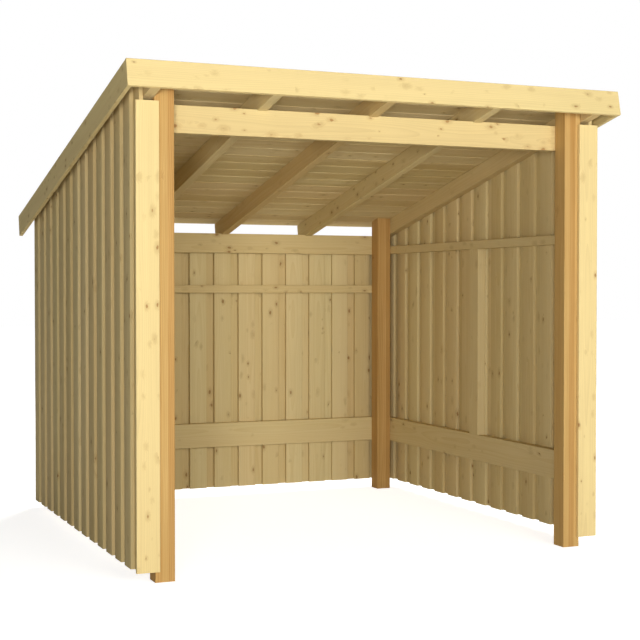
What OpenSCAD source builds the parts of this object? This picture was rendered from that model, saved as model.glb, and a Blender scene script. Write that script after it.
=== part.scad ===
// Open-fronted wooden bike shelter: four posts, two beams, five rafters under a
// mono-pitch board roof, and three walls of board-on-board cladding on rails.
// Millimetres, Z up, the open front faces -Y. Origin: bottom centre of the whole.

/* [Posts] */
// Side of the square laminated posts
post_w = 90; // [80:1:100]
// Width over the posts, outer face to outer face
span_w = 2180; // [2140:10:2220]
// Depth over the posts, front face to back face
span_d = 2240; // [2200:10:2280]

/* [Roof] */
// Fall of the roof towards the back, degrees
roof_slope = 12.3; // [11.5:0.1:13]
// Height of the roof's front top edge
front_top = 2254; // [2220:1:2290]
// Front top edge, measured forward of the posts
front_overhang = 100; // [90:1:115]
// Roof beyond the outer cladding at each side
side_eave = 63; // [50:1:90]
// Roof beyond the outer cladding at the back
back_eave = 50; // [30:1:80]
// Fascia standing above the roof boards
rim = 5; // [2:1:10]
// Thickness of the fascia boards
fascia_t = 20; // [16:1:24]
// Height of the rafters, square to the slope
rafter_h = 95; // [85:1:105]

/* [Roof boards] */
// Number of roof boards from front to back
deck_boards = 20; // [18:1:24]
// Thickness of the roof boards
deck_t = 20; // [18:1:24]
// Open joint between the faces of neighbouring roof boards
deck_joint = 1.5; // [1:0.5:3]
// Length of the tongue along a roof board's lower edge
tongue_len = 7; // [5:0.5:9]
// Thickness of that tongue
tongue_t = 6; // [5:0.5:7]
// Chamfer on both sides of a joint, on the underside
joint_chamfer = 4; // [2:0.5:5]

/* [Frame] */
// Thickness of rafters, rails, studs and beams
frame_t = 48; // [40:1:55]
// Height of the beam behind the front posts
front_beam_h = 124; // [110:1:135]
// Height of the beam behind the back posts
back_beam_h = 120; // [110:1:130]
// Depth the rafters are notched over a beam's front edge
beam_bite = 6; // [4:0.5:10]
// Height of the thin upper rails
upper_rail_h = 48; // [42:1:55]
// Clear height between a side wall's upper rail and the rafter at its back end
side_rail_drop = 52; // [30:1:120]
// Clear height between the back wall's upper rail and the back beam
back_rail_gap = 199; // [160:1:260]
// Height of the lower rails
lower_rail_h = 148; // [120:1:160]
// Underside of the lower rails
lower_rail_z = 307; // [250:1:350]
// Width of the stud in a side wall
stud_w = 95; // [80:1:110]
// Middle of that stud, measured back from the posts' front
stud_y = 1065; // [1000:1:1140]
// Radius of the eased edges of posts, beams, rafters, rails and studs
timber_ease = 3; // [1:0.5:5]

/* [Cladding] */
// Width of every cladding board
board_w = 108; // [102:1:114]
// Thickness of every cladding and trim board
board_t = 19; // [16:1:22]
// Radius of the eased edges of cladding, trims and fascias
board_ease = 2; // [1:0.5:4]
// Underside of the cladding and the trims
clad_z = 50; // [30:1:80]
// Outer boards on one side wall; an inner board lies at both ends and between them
side_outer = 13; // [12:1:13]
// Outer boards on the back wall
back_outer = 14; // [13:1:14]
// Part of a trim that laps over the post
trim_lap = 17; // [10:1:30]
// Part of a trim that stands beyond the outer cladding
trim_cover = 1; // [0.5:0.5:5]
// Clear height between a trim and the rafters' underside
trim_gap = 16; // [8:1:30]
// Clear height between the back wall's boards and the rafters
back_gap = 3; // [2:1:10]

/* [Fits] */
// Clearance between pieces that bear on each other
fit_gap = 0.3; // [0.2:0.1:0.5]

/* [Hidden] */
$fn = 32;

// Half widths from the middle line, layer by layer outwards
half_post = span_w / 2;
half_frame = half_post + fit_gap + frame_t;
half_inner = half_frame + fit_gap + board_t;
half_outer = half_inner + fit_gap + board_t;

// The back wall's layers, front face of each, measured from the posts' front
back_frame_y = span_d + fit_gap;
back_inner_y = back_frame_y + frame_t + fit_gap;
back_outer_y = back_inner_y + board_t + fit_gap;
back_face_y = back_outer_y + board_t;

// The roof plane: depths below its top edge line are measured square to the slope
roof_y = -front_overhang;
roof_width = 2 * (half_outer + side_eave);
roof_len = (back_face_y + back_eave - roof_y) / cos(roof_slope);
rafter_top_n = rim + deck_t + fit_gap;
rafter_under_n = rafter_top_n + rafter_h;
fascia_h = rafter_under_n;

// What lies behind the front fascia: where it starts and how long it is
behind_fascia = fascia_t + fit_gap;
slope_len = roof_len - behind_fascia;

// The middle of the whole, from the fascia's eased lower edge to the back edge of the roof
ease_back = board_ease * (sin(roof_slope) + cos(roof_slope) - 1);
front_y = roof_y - fascia_h * sin(roof_slope) + ease_back;
back_y = back_face_y + back_eave;
y_mid = (front_y + back_y) / 2;

// Beams stand a little above the rafters' underside
front_beam_y = post_w + fit_gap;
front_beam_z = roof_z(front_beam_y, rafter_under_n) + beam_bite - front_beam_h;
back_beam_z = roof_z(back_frame_y, rafter_under_n) + beam_bite - back_beam_h;

// Upper rails hang from the roof: the side ones below the rafter, the back one below the beam
side_rail_end = back_frame_y + frame_t;
side_rail_z = roof_z(side_rail_end, rafter_under_n) - side_rail_drop - upper_rail_h;
back_rail_z = back_beam_z - back_rail_gap - upper_rail_h;

// Side cladding runs from the trim to the back of the back wall's inner boards, back
// cladding over the posts
side_pitch = (back_inner_y + board_t - fit_gap - board_w) / side_outer;
back_pitch = (span_w - board_w) / (back_outer - 1);
back_clad_top = roof_z(back_face_y, rafter_under_n) - back_gap;
trim_top = roof_z(0, rafter_under_n) - trim_gap;
trim_w = half_outer + trim_cover - half_post + trim_lap;
rafter_step = (half_post + frame_t / 2 + fit_gap) / 2;

// Height of a plane that lies a depth n below the roof's top edge line
function roof_z(y, n) = front_top - (y - roof_y) * tan(roof_slope) - n / cos(roof_slope);

// Moves pieces measured from the posts' front face to the middle of the whole
module placed() {
    translate([0, -y_mid, 0]) children();
}

// Lays pieces drawn flat on to the slope; their top edge line is the origin
module on_roof() {
    translate([0, roof_y, front_top]) rotate([-roof_slope, 0, 0]) children();
}

// Saws pieces off along the slope, a depth n below the roof's top edge line
module sawn_to_roof(n) {
    difference() {
        children();
        on_roof()
            translate([-roof_width, -roof_len, -n])
                cube([2 * roof_width, 3 * roof_len, front_top]);
    }
}

// Cross section of a planed timber with eased edges, its corner on the origin
module planed(w, h, ease) {
    translate([ease, 0]) square([w - 2 * ease, h]);
    translate([0, ease]) square([w, h - 2 * ease]);
    for (x = [ease, w - ease])
        for (y = [ease, h - ease])
            translate([x, y]) circle(r = ease);
}

// A timber along X, its cross section drawn as seen from the right
module along_x(length) {
    rotate([90, 0, 90]) linear_extrude(height = length) children();
}

// A timber along Y, its cross section drawn as seen from the front
module along_y(length) {
    translate([0, length, 0]) rotate([90, 0, 0]) linear_extrude(height = length) children();
}

// One post, sawn to the slope just under the roof boards
module post(x, y) {
    color("peru") placed() sawn_to_roof(rafter_top_n)
        translate([x, y, 0])
            linear_extrude(height = front_top) planed(post_w, post_w, timber_ease);
}

module post_front_left() {
    post(-half_post, 0);
}

module post_front_right() {
    post(half_post - post_w, 0);
}

module post_back_left() {
    post(-half_post, span_d - post_w);
}

module post_back_right() {
    post(half_post - post_w, span_d - post_w);
}

// A timber across the whole width, lying behind a pair of posts
module cross_timber(y, z, h) {
    placed()
        translate([-half_post, y, z]) along_x(span_w) planed(frame_t, h, timber_ease);
}

module front_beam() {
    color("burlywood") cross_timber(front_beam_y, front_beam_z, front_beam_h);
}

module back_beam() {
    color("burlywood") cross_timber(back_frame_y, back_beam_z, back_beam_h);
}

// The seat that a beam needs in a rafter
module beam_seat(y, z, h) {
    translate([-half_post, y - fit_gap, z - fit_gap])
        cube([span_w, frame_t + 2 * fit_gap, h + 2 * fit_gap]);
}

// A rafter's plain length of timber, its middle at x
module rafter_timber(x) {
    on_roof()
        translate([x - frame_t / 2, behind_fascia, -rafter_under_n])
            along_y(slope_len) planed(frame_t, rafter_h, timber_ease);
}

// One rafter, notched over both beams
module rafter(x) {
    color("tan") placed() difference() {
        rafter_timber(x);
        beam_seat(front_beam_y, front_beam_z, front_beam_h);
        beam_seat(back_frame_y, back_beam_z, back_beam_h);
    }
}

// A rafter fixed to the outer faces of the posts, outside the beams' ends
module side_rafter(x) {
    color("tan") placed() rafter_timber(x);
}

module rafter_left_side() {
    side_rafter(-2 * rafter_step);
}

module rafter_left() {
    rafter(-rafter_step);
}

module rafter_middle() {
    rafter(0);
}

module rafter_right() {
    rafter(rafter_step);
}

module rafter_right_side() {
    side_rafter(2 * rafter_step);
}

// Cross section of a roof board: a tongue on its lower edge, a groove in its upper
// edge and chamfers underneath, so that two boards meet in a V
module tongued_board(w, has_tongue) {
    tongue_z = (deck_t - tongue_t) / 2;
    difference() {
        union() {
            polygon([[joint_chamfer, 0], [w - joint_chamfer, 0], [w, joint_chamfer],
                     [w, deck_t], [0, deck_t], [0, joint_chamfer]]);
            if (has_tongue)
                translate([w / 2, tongue_z]) square([w / 2 + tongue_len, tongue_t]);
        }
        translate([-tongue_len, tongue_z - fit_gap])
            square([2 * tongue_len, tongue_t + 2 * fit_gap]);
    }
}

// Roof boards side by side down the slope, between the side fascias; the last one
// has its tongue sawn off at the eave
module roof_boards() {
    deck_w = roof_width - 2 * behind_fascia;
    pitch = slope_len / deck_boards;
    color("burlywood") placed() on_roof()
        for (i = [0 : deck_boards - 1])
            translate([-deck_w / 2, behind_fascia + i * pitch, -rim - deck_t])
                along_x(deck_w) tongued_board(pitch - deck_joint, i < deck_boards - 1);
}

module fascia_front() {
    color("wheat") placed() on_roof()
        translate([-roof_width / 2, 0, -fascia_h])
            along_x(roof_width) planed(fascia_t, fascia_h, board_ease);
}

// A side fascia, butted against the back of the front one
module side_fascia(x) {
    color("wheat") placed() on_roof()
        translate([x, behind_fascia, -fascia_h])
            along_y(slope_len) planed(fascia_t, fascia_h, board_ease);
}

module fascia_left() {
    side_fascia(-roof_width / 2);
}

module fascia_right() {
    side_fascia(roof_width / 2 - fascia_t);
}

// A rail along a side wall, on the outer faces of the posts
module side_rail(x, z, h) {
    color("tan") placed()
        translate([x, fit_gap, z])
            along_y(side_rail_end - fit_gap) planed(frame_t, h, timber_ease);
}

// The stud between the two rails of a side wall
module side_stud(x) {
    z = lower_rail_z + lower_rail_h + fit_gap;
    color("tan") placed()
        translate([x, stud_y - stud_w / 2, z])
            linear_extrude(height = side_rail_z - fit_gap - z)
                planed(frame_t, stud_w, timber_ease);
}

module left_upper_rail() {
    side_rail(-half_frame, side_rail_z, upper_rail_h);
}

module left_lower_rail() {
    side_rail(-half_frame, lower_rail_z, lower_rail_h);
}

module left_stud() {
    side_stud(-half_frame);
}

module right_upper_rail() {
    side_rail(half_post + fit_gap, side_rail_z, upper_rail_h);
}

module right_lower_rail() {
    side_rail(half_post + fit_gap, lower_rail_z, lower_rail_h);
}

module right_stud() {
    side_stud(half_post + fit_gap);
}

module back_upper_rail() {
    color("tan") cross_timber(back_frame_y, back_rail_z, upper_rail_h);
}

module back_lower_rail() {
    color("tan") cross_timber(back_frame_y, lower_rail_z, lower_rail_h);
}

// One layer of a side wall: a board at each of the given steps, sawn off under the roof
module side_layer(x, steps) {
    color("tan") placed() sawn_to_roof(rafter_top_n)
        for (step = steps)
            translate([x, fit_gap + step * side_pitch, clad_z])
                linear_extrude(height = front_top - clad_z) planed(board_t, board_w, board_ease);
}

// Inner boards lie at whole steps, outer boards over the gaps at half steps
inner_steps = [0 : side_outer];
outer_steps = [0.5 : side_outer];

module left_inner_boards() {
    side_layer(-half_inner, inner_steps);
}

module left_outer_boards() {
    side_layer(-half_outer, outer_steps);
}

module right_inner_boards() {
    side_layer(half_inner - board_t, inner_steps);
}

module right_outer_boards() {
    side_layer(half_outer - board_t, outer_steps);
}

// One layer of the back wall: boards at steps from the left outer board; a board that
// would run past the side walls' inner faces is ripped to fit
module back_layer(y, steps) {
    color("tan") placed()
        for (step = steps) {
            left = -half_post + step * back_pitch;
            x0 = max(left, -half_frame);
            x1 = min(left + board_w, half_frame);
            translate([x0, y, clad_z])
                linear_extrude(height = back_clad_top - clad_z)
                    planed(x1 - x0, board_t, board_ease);
        }
}

module back_inner_boards() {
    back_layer(back_inner_y, [-0.5 : back_outer]);
}

module back_outer_boards() {
    back_layer(back_outer_y, [0 : back_outer - 1]);
}

// A trim over a front corner: covers the ends of the side wall and laps on to the post
module corner_trim(x) {
    color("wheat") placed()
        translate([x, -board_t - fit_gap, clad_z])
            linear_extrude(height = trim_top - clad_z) planed(trim_w, board_t, board_ease);
}

module corner_trim_left() {
    corner_trim(-half_post + trim_lap - trim_w);
}

module corner_trim_right() {
    corner_trim(half_post - trim_lap);
}

post_front_left();
post_front_right();
post_back_left();
post_back_right();
front_beam();
back_beam();
rafter_left_side();
rafter_left();
rafter_middle();
rafter_right();
rafter_right_side();
roof_boards();
fascia_front();
fascia_left();
fascia_right();
left_upper_rail();
left_lower_rail();
left_stud();
right_upper_rail();
right_lower_rail();
right_stud();
back_upper_rail();
back_lower_rail();
left_inner_boards();
left_outer_boards();
right_inner_boards();
right_outer_boards();
back_inner_boards();
back_outer_boards();
corner_trim_left();
corner_trim_right();
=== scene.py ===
# %% [markdown]
# # A wooden bike shelter
#
# The shelter is four laminated posts, two beams, five rafters, a boarded roof
# and three walls of spaced spruce boards. The solids come from the frame. This
# script gives them their timber, makes the rows of wall boards, and sets up the
# light and the camera.

# %% Load the frame
import math
import random

import bmesh
import bpy
from mathutils import Euler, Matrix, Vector


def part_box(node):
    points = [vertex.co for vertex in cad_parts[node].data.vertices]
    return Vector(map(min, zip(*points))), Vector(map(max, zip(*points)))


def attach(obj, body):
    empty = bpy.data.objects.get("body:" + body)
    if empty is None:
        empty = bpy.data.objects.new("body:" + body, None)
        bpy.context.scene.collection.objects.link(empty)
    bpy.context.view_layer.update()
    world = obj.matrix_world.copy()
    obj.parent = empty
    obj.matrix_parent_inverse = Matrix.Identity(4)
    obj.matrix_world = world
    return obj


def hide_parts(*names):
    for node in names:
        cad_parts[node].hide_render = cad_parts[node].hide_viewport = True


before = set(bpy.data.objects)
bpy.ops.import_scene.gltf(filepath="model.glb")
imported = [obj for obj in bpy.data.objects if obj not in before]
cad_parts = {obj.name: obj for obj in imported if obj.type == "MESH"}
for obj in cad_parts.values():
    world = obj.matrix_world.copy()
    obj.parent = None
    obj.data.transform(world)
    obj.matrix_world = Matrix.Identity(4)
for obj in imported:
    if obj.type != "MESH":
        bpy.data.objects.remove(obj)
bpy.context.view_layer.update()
scene = bpy.context.scene
scene.view_settings.view_transform = "Standard"
print("nodes in the frame:", len(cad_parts))

# %% [markdown]
# ## The camera
#
# A camera can be set by eye, or worked out from corners whose places are known.
# Here about thirty corners of posts, beams and fascias were used, which gives the
# lens and the eye point to within a pixel. The eye is measured from the foot of
# the front left post, so it follows the shelter if the frame is packed again.

# %% Camera
EYE_FROM_POST = Vector((-1.6169, -5.6582, 1.2736))
CAMERA_TURN = math.radians(22.947)
CAMERA_TILT = math.radians(-1.248)
IMAGE_PIXELS = 640
FOCAL_PIXELS = 1346.8
SIGHT = 200   # metres, past the far edge of the floor

view_camera = bpy.data.cameras.new("camera")
view_camera.sensor_fit = "HORIZONTAL"
view_camera.lens = view_camera.sensor_width * FOCAL_PIXELS / IMAGE_PIXELS
view_camera.clip_end = SIGHT
camera = bpy.data.objects.new("camera", view_camera)
camera.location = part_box("post_front_left")[0] + EYE_FROM_POST
camera.rotation_euler = (math.pi / 2 + CAMERA_TILT, 0, -CAMERA_TURN)
scene.collection.objects.link(camera)
scene.camera = camera
print("lens in mm:", round(view_camera.lens, 2))

# %% [markdown]
# ## Two helpers
#
# Colours are written as they look on a screen, in sRGB hex, and a shader wants
# linear light, so one function turns them. The other adds any node, with its
# settings and with whatever feeds its sockets, to any node tree. A socket goes by
# its name, or by its number where several share a name, as on Math and Mix nodes.

# %% Helpers
def hex_colour(code):
    """Linear RGBA from an sRGB hex code."""
    parts = [int(code[i : i + 2], 16) / 255 for i in (0, 2, 4)]
    curve = [c / 12.92 if c <= 0.04045 else ((c + 0.055) / 1.055) ** 2.4 for c in parts]
    return (*curve, 1)


def add(tree, kind, feeds=(), **settings):
    """Adds a node. feeds gives each socket a value, or the output that drives it."""
    node = tree.nodes.new(kind)
    for name, value in settings.items():
        setattr(node, name, value)
    for socket, source in dict(feeds).items():
        if isinstance(source, bpy.types.NodeSocket):
            tree.links.new(source, node.inputs[socket])
        else:
            node.inputs[socket].default_value = source
    return node


print("middle grey is", round(hex_colour("808080")[0], 3), "in linear light")

# %% [markdown]
# ## The figure of timber
#
# A board is a slice of a log. Rings round the pith cut its face in long lines or
# flames, branches leave knots, and fibres give short streaks. An image would
# repeat on every board. A solid figure is better: it knows the place along the
# log, across it and through it, so faces, edges and end grain all agree.
#
# Knots come first. A Voronoi texture fills the log with cells, each cell has one
# chance of a knot, and a slow noise gathers the knots in whorls, as branches grow.

# %% Knots
KNOT_SPACING = 0.042       # metres between the places where a knot may be
KNOT_LONG = 0.55           # below 1, a knot is longer along the log than across it
KNOT_SIZES = (0.05, 0.22)  # the smallest and the largest, as shares of the spacing
KNOT_RAGGED = 0.008        # metres by which its outline strays
RAGGED_SIZE = 0.015        # metres from one stray to the next
KNOT_CORE = (0.5, 1.0)     # the core fades between these shares of its size
KNOT_HALO = (0.8, 2.8)     # and the stained wood round it between these
WHORL = 0.25               # metres from one whorl to the next
WHORL_NOISE = (0.3, 0.54)  # no knots below the first, the full share above the second


def add_knots(tree, log, share):
    """Two masks: the knots themselves, and the stained wood round them."""
    stray = add(tree, "ShaderNodeTexNoise", {
        "Vector": log, "Scale": 1 / RAGGED_SIZE, "Detail": 1,
    })
    ragged = add(tree, "ShaderNodeVectorMath", {
        0: stray.outputs["Color"], 1: (KNOT_RAGGED, KNOT_RAGGED, KNOT_RAGGED), 2: log,
    }, operation="MULTIPLY_ADD")
    cells = add(tree, "ShaderNodeVectorMath", {
        0: ragged.outputs[0], 1: (KNOT_LONG, 1, 1),
    }, operation="MULTIPLY")
    knot = add(tree, "ShaderNodeTexVoronoi", {
        "Vector": cells.outputs[0], "Scale": 1 / KNOT_SPACING,
    })
    chance = add(tree, "ShaderNodeSeparateColor", {"Color": knot.outputs["Color"]})
    size = add(tree, "ShaderNodeMapRange", {
        "Value": chance.outputs["Red"], "To Min": KNOT_SIZES[0], "To Max": KNOT_SIZES[1],
    })
    spread = add(tree, "ShaderNodeVectorMath", {
        0: log, 1: (1 / WHORL, 1 / WHORL, 1 / WHORL),
    }, operation="MULTIPLY")
    whorl = add(tree, "ShaderNodeTexNoise", {
        "Vector": spread.outputs[0], "Scale": 1, "Detail": 0,
    })
    odds = add(tree, "ShaderNodeMapRange", {
        "Value": whorl.outputs["Fac"], "From Min": WHORL_NOISE[0], "From Max": WHORL_NOISE[1],
        "To Min": 0, "To Max": share,
    })
    there = add(tree, "ShaderNodeMath", {
        0: chance.outputs["Green"], 1: odds.outputs[0],
    }, operation="LESS_THAN")
    masks = []
    for start, end in (KNOT_CORE, KNOT_HALO):
        near = add(tree, "ShaderNodeMath", {0: size.outputs[0], 1: start}, operation="MULTIPLY")
        far = add(tree, "ShaderNodeMath", {0: size.outputs[0], 1: end}, operation="MULTIPLY")
        fade = add(tree, "ShaderNodeMapRange", {
            "Value": knot.outputs["Distance"], "From Min": near.outputs[0],
            "From Max": far.outputs[0], "To Min": 1, "To Max": 0,
        }, interpolation_type="SMOOTHSTEP")
        masks.append(add(tree, "ShaderNodeMath", {
            0: fade.outputs[0], 1: there.outputs[0],
        }, operation="MULTIPLY").outputs[0])
    return masks


print("places for knots in a metre of log:", round(KNOT_LONG / KNOT_SPACING, 1))

# %% [markdown]
# Rings are the distance to the pith, cut into years. A Wave texture draws rings
# too, but even ones. The pith of a real log wanders, which bends straight lines
# into flames, and rings swell round a knot, so here they are made from the distance.

# %% Rings
RING = 0.0065         # metres, drawn coarser than the real 3 mm so that it shows
RING_SWELL = 1.6      # rings by which the wood swells at a knot
AUTUMN = 2.4          # the higher, the later in the year the dark wood begins
WANDER = 0.045        # metres by which the pith wanders
WANDER_LENGTH = 1.1   # metres along the log from one bend to the next
WANDER_WIDTH = 0.5    # and across it


def add_rings(tree, log, halo):
    """Late wood: 0 in the spring of each year, rising to 1 in its autumn."""
    slow = add(tree, "ShaderNodeVectorMath", {
        0: log, 1: (1 / WANDER_LENGTH, 1 / WANDER_WIDTH, 1 / WANDER_WIDTH),
    }, operation="MULTIPLY")
    wander = add(tree, "ShaderNodeTexNoise", {
        "Vector": slow.outputs[0], "Scale": 1, "Detail": 2,
    })
    shift = add(tree, "ShaderNodeVectorMath", {
        0: wander.outputs["Color"], 1: (0, WANDER, WANDER), 2: log,
    }, operation="MULTIPLY_ADD")
    across = add(tree, "ShaderNodeVectorMath", {
        0: shift.outputs[0], 1: (0, 1, 1),
    }, operation="MULTIPLY")
    radius = add(tree, "ShaderNodeVectorMath", {0: across.outputs[0]}, operation="LENGTH")
    swollen = add(tree, "ShaderNodeMath", {
        0: halo, 1: RING * RING_SWELL, 2: radius.outputs["Value"],
    }, operation="MULTIPLY_ADD")
    years = add(tree, "ShaderNodeMath", {0: swollen.outputs[0], 1: RING}, operation="DIVIDE")
    season = add(tree, "ShaderNodeMath", {0: years.outputs[0]}, operation="FRACT")
    late = add(tree, "ShaderNodeMath", {0: season.outputs[0], 1: AUTUMN}, operation="POWER")
    return late.outputs[0]


print("rings in a metre of timber:", round(1 / RING))

# %% [markdown]
# Three noises, all drawn out along the log, give the rest: fine streaks of
# fibres, broad bands of tone, and the lean of a whole log to pink or green. One
# noise with more detail would tie them together, so each has its own size.

# %% Streaks
STREAKS = {
    "streak": (0.35, 0.005, 3),   # length and width in metres, and detail
    "band": (1.4, 0.06, 1),
    "lean": (8.0, 0.6, 0),
}
STREAK_DETAIL_PART = 0.6          # how strongly the finer detail shows


def add_streaks(tree, log):
    """The three noises, each about 0.5."""
    made = {}
    for name, (length, width, detail) in STREAKS.items():
        drawn = add(tree, "ShaderNodeVectorMath", {
            0: log, 1: (1 / length, 1 / width, 1 / width),
        }, operation="MULTIPLY")
        noise = add(tree, "ShaderNodeTexNoise", {
            "Vector": drawn.outputs[0], "Scale": 1, "Detail": detail,
            "Roughness": STREAK_DETAIL_PART,
        })
        made[name] = noise.outputs["Fac"]
    return made


print("streaks are", STREAKS["streak"][1] * 1000, "mm wide")

# %% [markdown]
# The figure is one node group for each kind of timber. It mixes a pale and a deep
# colour by rings, streaks and bands, then stains it round the knots. Its tone
# moves a whole timber to the pale side, below 0, or to the deep one, above 0.

# %% Figure
BAND_PART = 0.8                     # the bands, as a share of the streaks
HALO_STAIN = 0.22
CORE_STAIN = 0.72
LEAN_NOISE = (0.35, 0.65)           # the log is greenest at the first, pinkest at the second
LEAN_TINTS = ("F8F6EB", "FBF5EB")
ROUGHNESS = (0.62, 0.85)
STREAK_HEIGHT = 0.6                 # the fibres' part in the relief, where late wood is 1
FACTOR, FIRST, SECOND, MIXED = 0, 6, 7, 2   # a Mix node's sockets for colours


def timber_figure(name, pale, deep, knot, knot_share, ring_part, streak_part):
    """A group: place in the log and tone in; colour, roughness and height out."""
    tree = bpy.data.node_groups.new(name, "ShaderNodeTree")
    sides = tree.interface
    sides.new_socket("Log", in_out="INPUT", socket_type="NodeSocketVector")
    sides.new_socket("Tone", in_out="INPUT", socket_type="NodeSocketFloat")
    sides.new_socket("Color", in_out="OUTPUT", socket_type="NodeSocketColor")
    sides.new_socket("Roughness", in_out="OUTPUT", socket_type="NodeSocketFloat")
    sides.new_socket("Height", in_out="OUTPUT", socket_type="NodeSocketFloat")
    given = add(tree, "NodeGroupInput")
    log = given.outputs["Log"]
    core, halo = add_knots(tree, log, knot_share)
    late = add_rings(tree, log, halo)
    noises = add_streaks(tree, log)

    depth = given.outputs["Tone"]
    for source, part in (
        (late, ring_part),
        (noises["streak"], streak_part),
        (noises["band"], BAND_PART * streak_part),
    ):
        depth = add(tree, "ShaderNodeMath", {
            0: source, 1: part, 2: depth,
        }, operation="MULTIPLY_ADD").outputs[0]
    wood = add(tree, "ShaderNodeMix", {
        FACTOR: depth, FIRST: hex_colour(pale), SECOND: hex_colour(deep),
    }, data_type="RGBA").outputs[MIXED]
    for mask, part in ((halo, HALO_STAIN), (core, CORE_STAIN)):
        stain = add(tree, "ShaderNodeMath", {0: mask, 1: part}, operation="MULTIPLY")
        wood = add(tree, "ShaderNodeMix", {
            FACTOR: stain.outputs[0], FIRST: wood, SECOND: hex_colour(knot),
        }, data_type="RGBA").outputs[MIXED]
    lean = add(tree, "ShaderNodeMapRange", {
        "Value": noises["lean"], "From Min": LEAN_NOISE[0], "From Max": LEAN_NOISE[1],
    })
    tint = add(tree, "ShaderNodeMix", {
        FACTOR: lean.outputs[0],
        FIRST: hex_colour(LEAN_TINTS[0]), SECOND: hex_colour(LEAN_TINTS[1]),
    }, data_type="RGBA")
    tinted = add(tree, "ShaderNodeMix", {
        FACTOR: 1.0, FIRST: wood, SECOND: tint.outputs[MIXED],
    }, data_type="RGBA", blend_type="MULTIPLY")

    rough = add(tree, "ShaderNodeMapRange", {
        "Value": noises["streak"], "To Min": ROUGHNESS[0], "To Max": ROUGHNESS[1],
    })
    height = add(tree, "ShaderNodeMath", {
        0: noises["streak"], 1: STREAK_HEIGHT, 2: late,
    }, operation="MULTIPLY_ADD")
    add(tree, "NodeGroupOutput", {
        "Color": tinted.outputs[MIXED], "Roughness": rough.outputs[0],
        "Height": height.outputs[0],
    })
    return tree


# planed spruce is pale cream, with small warm brown knots
planed_figure = timber_figure(
    "planed spruce", pale="F0DDA2", deep="D2BC89", knot="9A6934",
    knot_share=0.75, ring_part=0.26, streak_part=0.46,
)
# this spruce is duller, and painted a shade deeper and greyer than the planed spruce, for the
# shade in the bay and on the left wall
shade_painted_spruce_figure = timber_figure(
    "sawn spruce", pale="E0D0A3", deep="C6AC76", knot="8A6436",
    knot_share=0.40, ring_part=0.22, streak_part=0.44,
)
# the roof boards are paler and more striped, with few knots
roof_figure = timber_figure(
    "sawn roof spruce", pale="F3E6BE", deep="CAB37E", knot="8A6638",
    knot_share=0.35, ring_part=0.32, streak_part=0.66,
)
# strips of pine for gluing are orange brown, with strong late wood and hardly a knot
glued_figure = timber_figure(
    "glued pine", pale="DDBB7D", deep="AA7D42", knot="8A5A2C",
    knot_share=0.08, ring_part=0.30, streak_part=0.55,
)
print("nodes in a figure:", len(planed_figure.nodes))

# %% [markdown]
# ## Timber materials
#
# Bare spruce is dull to the eye, with a soft sheen along the fibres where it was
# planed. An IOR of 1.5 is usual for wood; the sheen value lowers the mirror part
# of a sawn face, which scatters nearly all its light. The grain is a low bump.

# %% Timber materials
WOOD_IOR = 1.5
PLANED_SHEEN = 0.15
SAWN_SHEEN = 0.03
GRAIN_DEPTH = 0.0004   # metres
GRAIN_STRENGTH = 0.5


def new_timber(name):
    """An empty material to build a timber in."""
    made = bpy.data.materials.new(name)
    made.use_nodes = True
    made.node_tree.nodes.clear()
    return made


def finish_timber(made, figure, sheen, log, tone):
    """Joins a place in the log and a tone to a figure and a matt surface."""
    tree = made.node_tree
    grain = add(tree, "ShaderNodeGroup", {"Log": log, "Tone": tone}, node_tree=figure)
    bump = add(tree, "ShaderNodeBump", {
        "Height": grain.outputs["Height"], "Distance": GRAIN_DEPTH, "Strength": GRAIN_STRENGTH,
    })
    shader = add(tree, "ShaderNodeBsdfPrincipled", {
        "Base Color": grain.outputs["Color"], "Roughness": grain.outputs["Roughness"],
        "Normal": bump.outputs[0], "IOR": WOOD_IOR, "Specular IOR Level": sheen,
    })
    add(tree, "ShaderNodeOutputMaterial", {"Surface": shader.outputs[0]})


def dress(node, made):
    """Puts one material on a CAD node."""
    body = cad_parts[node]
    body.data.materials.clear()
    body.data.materials.append(made)


print("grain depth in mm:", GRAIN_DEPTH * 1000)

# %% [markdown]
# ## Single timbers
#
# Beams, rails, rafters, trims and fascias have their eased edges and notches in
# the CAD, so only their material changes. UV maps could carry the grain, but they
# would break it at every edge. A Mapping node turns the object's own coordinates
# instead, until x runs along the timber, and puts the pith in another place for
# each, as if each came from another log. The tone of timber that shows is listed.

# %% Single timbers
ROOF_SLOPE = math.radians(12.3)
ALONG = {
    "x": (0, 0, 0),
    "y": (0, 0, -math.pi / 2),
    "z": (0, math.pi / 2, 0),
    "slope": (ROOF_SLOPE, 0, -math.pi / 2),
}
PLANED = {
    "fascia_front": "x", "fascia_left": "slope", "fascia_right": "slope",
    "front_beam": "x", "corner_trim_left": "z", "corner_trim_right": "z",
}
# timbers inside the bay, in the spruce whose colour is painted a shade deeper for the shade there
SHADE_PAINTED_TIMBERS = {
    "back_beam": "x", "back_upper_rail": "x", "back_lower_rail": "x",
    "left_upper_rail": "y", "left_lower_rail": "y", "left_stud": "z",
    "right_upper_rail": "y", "right_lower_rail": "y", "right_stud": "z",
    "rafter_left_side": "slope", "rafter_left": "slope", "rafter_middle": "slope",
    "rafter_right": "slope", "rafter_right_side": "slope",
}
# listed tones; the deeper ones of the front beam and the middle and right side rafters partly
# paint the shade under the roof
TONES_AND_PAINTED_SHADE = {
    "fascia_front": -0.22, "front_beam": 0.30,
    "corner_trim_left": -0.08, "corner_trim_right": -0.18,
    "rafter_left": -0.06, "rafter_middle": 0.35, "rafter_right": 0.0, "rafter_right_side": 0.1,
}
DRAWN_TONES = (-0.15, 0.1)                  # for the others
CLEAR_LENGTHS = {"corner_trim_right": 2.0}  # metres further along the log, where it has few knots
LOG_REACH = 20                              # metres along the log, to either side
OFF_PITH = (0.02, 0.09)                     # metres from the pith, across the timber
THROUGH_PITH = 0.09                         # and through it, to either side
chooser = random.Random(11)


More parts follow.
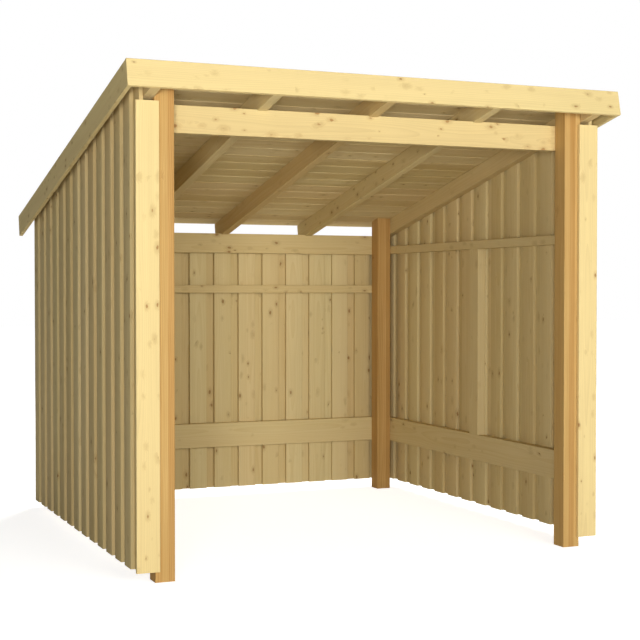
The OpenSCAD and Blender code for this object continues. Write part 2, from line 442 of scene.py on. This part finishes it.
def along_log(tree, node, turn, pith):
    """Object coordinates, turned along the timber and measured from the pith."""
    low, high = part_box(node)
    middle = Euler(turn, "XYZ").to_matrix() @ ((low + high) / 2)
    spot = add(tree, "ShaderNodeTexCoord")
    turned = add(tree, "ShaderNodeMapping", {
        "Vector": spot.outputs["Object"], "Rotation": turn, "Location": pith - middle,
    })
    return turned.outputs[0]


# the second kind is the spruce painted a shade deeper and greyer, for the shade inside the bay
for surface, figure, sheen, nodes in (
    ("planed", planed_figure, PLANED_SHEEN, PLANED),
    ("sawn", shade_painted_spruce_figure, SAWN_SHEEN, SHADE_PAINTED_TIMBERS),
):
    for node, way in nodes.items():
        side = chooser.choice((-1, 1)) * chooser.uniform(*OFF_PITH)
        length = chooser.uniform(-LOG_REACH, LOG_REACH)
        pith = Vector((length, side, chooser.uniform(-THROUGH_PITH, THROUGH_PITH)))
        pith.x += CLEAR_LENGTHS.get(node, 0)
        drawn_tone = chooser.uniform(*DRAWN_TONES)
        made = new_timber(f"{surface} spruce {node}")
        log = along_log(made.node_tree, node, ALONG[way], pith)
        finish_timber(made, figure, sheen, log, TONES_AND_PAINTED_SHADE.get(node, drawn_tone))
        dress(node, made)
print("single timbers dressed:", len(PLANED) + len(SHADE_PAINTED_TIMBERS))

# %% [markdown]
# ## Laminated posts and roof boards
#
# A laminated post is three strips glued side by side, and the roof is a row of
# tongued boards. In both the figure jumps at each joint. Every strip could have a
# material of its own, but one rule is shorter: the strip's number is the place
# across it divided by its width, rounded down, and a White Noise node turns that
# number into another place in the log and another tone.

# %% Strips
STRIP_JUMP = (30, 0.15, 0.2)   # metres along, across and through the log


def split_strips(tree, log, width, seed, tone_reach):
    """Another place in the log and another tone for each strip across it."""
    parts = add(tree, "ShaderNodeSeparateXYZ", {"Vector": log})
    count = add(tree, "ShaderNodeMath", {0: parts.outputs["Y"], 1: width}, operation="DIVIDE")
    number = add(tree, "ShaderNodeMath", {0: count.outputs[0]}, operation="FLOOR")
    draw = add(tree, "ShaderNodeMath", {0: number.outputs[0], 1: seed}, operation="ADD")
    noise = add(tree, "ShaderNodeTexWhiteNoise", {"W": draw.outputs[0]}, noise_dimensions="1D")
    tone = add(tree, "ShaderNodeMapRange", {
        "Value": noise.outputs["Value"], "To Min": -tone_reach, "To Max": tone_reach,
    })
    jump = add(tree, "ShaderNodeVectorMath", {
        0: noise.outputs["Color"], 1: STRIP_JUMP, 2: log,
    }, operation="MULTIPLY_ADD")
    return jump.outputs[0], tone.outputs[0]


print("a strip may come from", STRIP_JUMP[0], "metres further along")

# %% Posts
POSTS = ("post_front_left", "post_front_right", "post_back_left", "post_back_right")
POST_STRIPS = 3
POST_TURN = (math.pi / 2, 0, math.pi / 2)
POST_TONES = 0.16
POST_SEED_STEP = 17.3

for index, node in enumerate(POSTS):
    low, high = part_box(node)
    strip = (high.x - low.x) / POST_STRIPS
    made = new_timber(f"glued pine {node}")
    middle = Vector((0, POST_STRIPS / 2 * strip, 0))
    log = along_log(made.node_tree, node, POST_TURN, middle)
    log, tone = split_strips(made.node_tree, log, strip, POST_SEED_STEP * index, POST_TONES)
    finish_timber(made, glued_figure, PLANED_SHEEN, log, tone)
    dress(node, made)
print("post strips in mm:", round(strip * 1000, 1))

# %% Roof
ROOF_BOARDS = 20
ROOF_BOARD_THICK = 0.020
ROOF_TURN = (ROOF_SLOPE, 0, 0)
ROOF_PITH = 0.05   # metres from the boards to the pith
ROOF_TONES = 0.18
ROOF_SEED = 5.1

low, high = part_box("roof_boards")
roof_run = (high.y - low.y - ROOF_BOARD_THICK * math.sin(ROOF_SLOPE)) / math.cos(ROOF_SLOPE)
roof_pitch = roof_run / ROOF_BOARDS
made = new_timber("sawn spruce roof boards")
middle = Vector((0, roof_run / 2, ROOF_PITH))
log = along_log(made.node_tree, "roof_boards", ROOF_TURN, middle)
log, tone = split_strips(made.node_tree, log, roof_pitch, ROOF_SEED, ROOF_TONES)
finish_timber(made, roof_figure, SAWN_SHEEN, log, tone)
dress("roof_boards", made)
print("roof boards in mm:", round(roof_pitch * 1000, 1))

# %% [markdown]
# ## A rule for a row of boards
#
# Each wall has two layers of boards with gaps, the outer boards over the gaps of
# the inner ones. They could be copied one by one, but a row follows a rule, so a
# Geometry Nodes tree makes it. It begins with one board, a unit high, that has
# eased edges and keeps each point's place on the board as an attribute.

# %% One board
ROW_INPUTS = {
    "Count": "NodeSocketInt", "First": "NodeSocketVector", "Step": "NodeSocketVector",
    "Turn": "NodeSocketFloat", "Width": "NodeSocketFloat", "Thickness": "NodeSocketFloat",
    "Ease": "NodeSocketFloat", "Top": "NodeSocketFloat", "Fall": "NodeSocketFloat",
    "Seed": "NodeSocketInt", "Material": "NodeSocketMaterial",
}
EASE_STEPS = 3

row_tree = bpy.data.node_groups.new("board row", "GeometryNodeTree")
row_sockets = {
    name: row_tree.interface.new_socket(name, in_out="INPUT", socket_type=kind).identifier
    for name, kind in ROW_INPUTS.items()
}
row_tree.interface.new_socket("Geometry", in_out="OUTPUT", socket_type="NodeSocketGeometry")
row = add(row_tree, "NodeGroupInput").outputs
outline = add(row_tree, "GeometryNodeCurvePrimitiveQuadrilateral", {
    "Width": row["Width"], "Height": row["Thickness"],
})
eased = add(row_tree, "GeometryNodeFilletCurve", {
    "Curve": outline.outputs[0], "Count": EASE_STEPS, "Radius": row["Ease"],
}, mode="POLY")
stem = add(row_tree, "GeometryNodeCurvePrimitiveLine", {"Start": (0, 0, 0), "End": (0, 0, 1)})
board = add(row_tree, "GeometryNodeCurveToMesh", {
    "Curve": stem.outputs[0], "Profile Curve": eased.outputs[0], "Fill Caps": True,
})
here = add(row_tree, "GeometryNodeInputPosition").outputs[0]
marked = add(row_tree, "GeometryNodeStoreNamedAttribute", {
    "Geometry": board.outputs[0], "Name": "log", "Value": here,
}, data_type="FLOAT_VECTOR", domain="POINT")
print("inputs of the board row:", len(row_sockets))

# %% [markdown]
# The board is repeated at a pitch, and each one gets its number. Then every point
# of a top is moved up to the roof, which falls towards the back.

# %% The row
HALF_UP = 0.5   # of the unit board

feet = add(row_tree, "GeometryNodeMeshLine", {
    "Count": row["Count"], "Start Location": row["First"], "Offset": row["Step"],
}, mode="OFFSET")
turned = add(row_tree, "ShaderNodeCombineXYZ", {"Z": row["Turn"]})
standing = add(row_tree, "GeometryNodeInstanceOnPoints", {
    "Points": feet.outputs[0], "Instance": marked.outputs[0], "Rotation": turned.outputs[0],
})
place_in_row = add(row_tree, "GeometryNodeInputIndex")
numbered = add(row_tree, "GeometryNodeStoreNamedAttribute", {
    "Geometry": standing.outputs[0], "Name": "board", "Value": place_in_row.outputs[0],
}, data_type="INT", domain="INSTANCE")
whole = add(row_tree, "GeometryNodeRealizeInstances", {"Geometry": numbered.outputs[0]})
mark = add(row_tree, "GeometryNodeInputNamedAttribute", {"Name": "log"}, data_type="FLOAT_VECTOR")
on_board = add(row_tree, "ShaderNodeSeparateXYZ", {"Vector": mark.outputs[0]}).outputs
is_top = add(row_tree, "FunctionNodeCompare", {
    0: on_board["Z"], 1: HALF_UP,
}, operation="GREATER_THAN")
on_wall = add(row_tree, "ShaderNodeSeparateXYZ", {"Vector": here}).outputs
roof_height = add(row_tree, "ShaderNodeMath", {
    0: on_wall["Y"], 1: row["Fall"], 2: row["Top"],
}, operation="MULTIPLY_ADD")
sawn_at = add(row_tree, "ShaderNodeCombineXYZ", {
    "X": on_wall["X"], "Y": on_wall["Y"], "Z": roof_height.outputs[0],
})
sawn = add(row_tree, "GeometryNodeSetPosition", {
    "Geometry": whole.outputs[0], "Selection": is_top.outputs[0], "Position": sawn_at.outputs[0],
})
print("nodes so far:", len(row_tree.nodes))

# %% [markdown]
# At last each board draws its own place in a log and its own tone from its
# number, and stores them where the material can read them.

# %% Logs and tones
BOARD_REACH = Vector((20, 0.05, 0.09))   # metres along, across and through the log
BOARD_TONES = (-0.28, 0.16)

number = add(row_tree, "GeometryNodeInputNamedAttribute", {"Name": "board"}, data_type="INT")
jump = add(row_tree, "FunctionNodeRandomValue", {
    0: -BOARD_REACH, 1: BOARD_REACH, "ID": number.outputs[0], "Seed": row["Seed"],
}, data_type="FLOAT_VECTOR")
grain = add(row_tree, "ShaderNodeCombineXYZ", {
    "X": on_wall["Z"], "Y": on_board["X"], "Z": on_board["Y"],
})
own_log = add(row_tree, "ShaderNodeVectorMath", {
    0: grain.outputs[0], 1: jump.outputs[0],
}, operation="ADD")
logged = add(row_tree, "GeometryNodeStoreNamedAttribute", {
    "Geometry": sawn.outputs[0], "Name": "log", "Value": own_log.outputs[0],
}, data_type="FLOAT_VECTOR", domain="POINT")
shade = add(row_tree, "FunctionNodeRandomValue", {
    2: BOARD_TONES[0], 3: BOARD_TONES[1], "ID": number.outputs[0], "Seed": row["Seed"],
}, data_type="FLOAT")
toned = add(row_tree, "GeometryNodeStoreNamedAttribute", {
    "Geometry": logged.outputs[0], "Name": "tone", "Value": shade.outputs[1],
}, data_type="FLOAT", domain="POINT")
covered = add(row_tree, "GeometryNodeSetMaterial", {
    "Geometry": toned.outputs[0], "Material": row["Material"],
})
add(row_tree, "NodeGroupOutput", {"Geometry": covered.outputs[0]})
print("nodes in the board row:", len(row_tree.nodes))

# %% [markdown]
# ## The wall boards
#
# The same rule makes six layers. Each takes its place, pitch and thickness from
# the box of the CAD layer that it replaces. First comes their timber, which reads
# what the rule stored, and two helpers: one runs the rule, and one joins rows.

# %% Board helpers
EDGE_ANGLE = math.radians(40)   # sharper edges than this stay sharp in the shading

# the cladding's spruce is painted a shade deeper and greyer, for the shade in the bay and on the
# left wall
cladding = new_timber("spruce cladding with painted shade")
own_place = add(cladding.node_tree, "ShaderNodeAttribute", attribute_name="log")
own_tone = add(cladding.node_tree, "ShaderNodeAttribute", attribute_name="tone")
finish_timber(
    cladding, shade_painted_spruce_figure, SAWN_SHEEN, own_place.outputs["Vector"], own_tone.outputs["Fac"],
)


def board_row(values):
    """One evaluated row as a plain mesh."""
    holder = bpy.data.objects.new("row", bpy.data.meshes.new("row"))
    scene.collection.objects.link(holder)
    rule = holder.modifiers.new("board row", "NODES")
    rule.node_group = row_tree
    for name, value in values.items():
        rule[row_sockets[name]] = value
    graph = bpy.context.evaluated_depsgraph_get()
    mesh = bpy.data.meshes.new_from_object(holder.evaluated_get(graph))
    bpy.data.objects.remove(holder)
    return mesh


def join_rows(name, meshes):
    """One object from several rows."""
    joined = bmesh.new()
    for mesh in meshes:
        joined.from_mesh(mesh)
    mesh = bpy.data.meshes.new(name)
    joined.to_mesh(mesh)
    joined.free()
    mesh.materials.append(cladding)
    mesh.shade_smooth()
    mesh.set_sharp_from_angle(angle=EDGE_ANGLE)
    piece = bpy.data.objects.new(name, mesh)
    scene.collection.objects.link(piece)
    return piece


print("nodes in the cladding's material:", len(cladding.node_tree.nodes))

# %% [markdown]
# The side boards are sawn to the roof's slope, so their tops fall towards the
# back. The back wall's inner layer has a narrow ripped board at both ends, so it
# is three rows in one piece.

# %% Wall boards
BOARD_WIDTH = 0.108
BOARD_EASE = 0.002
WHOLE_BOARDS = {
    "left_inner_boards": 14, "left_outer_boards": 13,
    "right_inner_boards": 14, "right_outer_boards": 13,
    "back_inner_boards": 13, "back_outer_boards": 14,
}
LAYER_SEED_STEP = 10

outer_low, outer_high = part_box("back_outer_boards")
back_pitch = (outer_high.x - outer_low.x - BOARD_WIDTH) / (WHOLE_BOARDS["back_outer_boards"] - 1)
fall = -math.tan(ROOF_SLOPE)
for index, (node, count) in enumerate(WHOLE_BOARDS.items()):
    low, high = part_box(node)
    at_back = node.startswith("back")
    run, through = (0, 1) if at_back else (1, 0)
    pitch = back_pitch if at_back else (high.y - low.y - BOARD_WIDTH) / (count - 1)
    start = (low[run] + high[run] - pitch * (count - 1)) / 2
    rows = [(count, start, BOARD_WIDTH)]
    if node == "back_inner_boards":
        ripped = start - pitch + BOARD_WIDTH / 2 - low.x
        rows += [(1, low.x + ripped / 2, ripped), (1, high.x - ripped / 2, ripped)]
    meshes = []
    for boards, first, width in rows:
        foot = [(low.x + high.x) / 2, (low.y + high.y) / 2, low.z]
        foot[run] = first
        step = [0.0, 0.0, 0.0]
        step[run] = pitch
        meshes.append(board_row({
            "Count": boards, "First": foot, "Step": step, "Width": width,
            "Turn": 0.0 if at_back else math.pi / 2, "Thickness": high[through] - low[through],
            "Ease": BOARD_EASE, "Fall": 0.0 if at_back else fall,
            "Top": high.z if at_back else high.z - fall * low.y,
            "Seed": LAYER_SEED_STEP * index + len(meshes), "Material": cladding,
        }))
    piece = join_rows(node.replace("_boards", "_cladding"), meshes)
    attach(piece, "root")
    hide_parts(node)
    print(piece.name, len(piece.data.polygons), "faces, pitch", round(pitch * 1000, 1), "mm")

# %% [markdown]
# ## The floor
#
# The studio floor is matt white. Light alone would leave it grey far off, so the
# camera also sees a glow in it, which rises to full white away from the shelter
# and stays below white near it, where the shadow falls.

# %% Floor
FLOOR_HALF = 40
FLOOR_DROP = 0.001   # metres below the posts' feet
FLOOR_PAINT = "E8E8E6"
FLOOR_GLOW = 0.80
FADE_FROM, FADE_TO = 1.5, 6.0


def background_rays(tree):
    """1 for the rays that see a background: the camera's, and those off gloss or through glass."""
    ray = add(tree, "ShaderNodeLightPath").outputs
    seen = ray["Is Camera Ray"]
    for kind in ("Is Glossy Ray", "Is Transmission Ray"):
        seen = add(tree, "ShaderNodeMath", {0: seen, 1: ray[kind]}, operation="MAXIMUM").outputs[0]
    return seen


corners = [(-1, -1), (1, -1), (1, 1), (-1, 1)]
floor_mesh = bpy.data.meshes.new("floor")
floor_mesh.from_pydata(
    [(x * FLOOR_HALF, y * FLOOR_HALF, -FLOOR_DROP) for x, y in corners], [], [(0, 1, 2, 3)],
)
floor = bpy.data.objects.new("floor", floor_mesh)
scene.collection.objects.link(floor)
floor_paint = bpy.data.materials.new("matt white floor paint")
floor_paint.use_nodes = True
tree = floor_paint.node_tree
tree.nodes.clear()
spot = add(tree, "ShaderNodeTexCoord")
away = add(tree, "ShaderNodeVectorMath", {0: spot.outputs["Object"]}, operation="LENGTH")
white = add(tree, "ShaderNodeMapRange", {
    "Value": away.outputs["Value"], "From Min": FADE_FROM, "From Max": FADE_TO,
    "To Min": FLOOR_GLOW, "To Max": 1.0,
}, interpolation_type="SMOOTHSTEP")
shown = add(tree, "ShaderNodeMath", {
    0: background_rays(tree), 1: white.outputs[0],
}, operation="MULTIPLY")
glow = add(tree, "ShaderNodeEmission", {"Color": (1, 1, 1, 1), "Strength": shown.outputs[0]})
matt = add(tree, "ShaderNodeBsdfDiffuse", {"Color": hex_colour(FLOOR_PAINT)})
both = add(tree, "ShaderNodeAddShader", {0: matt.outputs[0], 1: glow.outputs[0]})
add(tree, "ShaderNodeOutputMaterial", {"Surface": both.outputs[0]})
floor_mesh.materials.append(floor_paint)
print("floor in metres:", 2 * FLOOR_HALF)

# %% [markdown]
# ## The light
#
# One lamp in front would light the open bay as much as its frame, and one high up
# would leave the header in the shade of the roof. Four soft boxes stand in an arc
# before the shelter, at about the height of the opening: those on the left pick
# out the front edges of the wall boards, and the inside fades with its distance.
# A fifth stands high behind, for the roof and the sides that face away.

# %% Soft boxes
SOFT_BOXES = {
    "front": (164, (0.3, -8.0, 2.6), (2.5, 2.0)),   # watts, place and size in metres
    "front right": (140, (2.4, -8.0, 1.6), (2.0, 2.0)),
    "front left": (142, (-3.4, -8.0, 1.2), (1.6, 1.6)),
    "left": (190, (-4.3, -8.0, 1.2), (1.2, 1.6)),
    "rear": (600, (3.6, 6.6, 6.0), (3.0, 3.0)),
}
AIM = Vector((0, 0, 1.1))

for name, (power, stand, size) in SOFT_BOXES.items():
    lamp = bpy.data.lights.new(f"{name} soft box", "AREA")
    lamp.shape = "RECTANGLE"
    lamp.size, lamp.size_y = size
    lamp.energy = power
    soft_box = bpy.data.objects.new(lamp.name, lamp)
    soft_box.location = stand
    soft_box.rotation_euler = (AIM - Vector(stand)).to_track_quat("-Z", "Y").to_euler()
    soft_box.visible_camera = False
    scene.collection.objects.link(soft_box)
print("soft boxes:", len(SOFT_BOXES))

# %% [markdown]
# The world is plain white to the eye. As a light it would flatten everything at
# that strength, so what it sheds is only a little fill, and a glow from behind.

# %% World
FILL = 0.02
BACK_GLOW = 0.2
BACK_FROM = Vector((0.6, 1.0, 0.6)).normalized()
GLOW_FOCUS = 2   # the higher, the narrower the glow

world = bpy.data.worlds.new("studio")
world.use_nodes = True
scene.world = world
tree = world.node_tree
tree.nodes.clear()
way = add(tree, "ShaderNodeTexCoord")
facing = add(tree, "ShaderNodeVectorMath", {
    0: way.outputs["Generated"], 1: BACK_FROM,
}, operation="DOT_PRODUCT")
behind = add(tree, "ShaderNodeMath", {0: facing.outputs["Value"], 1: 0}, operation="MAXIMUM")
focused = add(tree, "ShaderNodeMath", {0: behind.outputs[0], 1: GLOW_FOCUS}, operation="POWER")
soft = add(tree, "ShaderNodeMath", {
    0: focused.outputs[0], 1: BACK_GLOW, 2: FILL,
}, operation="MULTIPLY_ADD")
strength = add(tree, "ShaderNodeMapRange", {
    "Value": background_rays(tree), "To Min": soft.outputs[0], "To Max": 1.0,
})
sky = add(tree, "ShaderNodeBackground", {"Color": (1, 1, 1, 1), "Strength": strength.outputs[0]})
add(tree, "ShaderNodeOutputWorld", {"Surface": sky.outputs[0]})
print("light from behind, from the world:", BACK_GLOW + FILL)
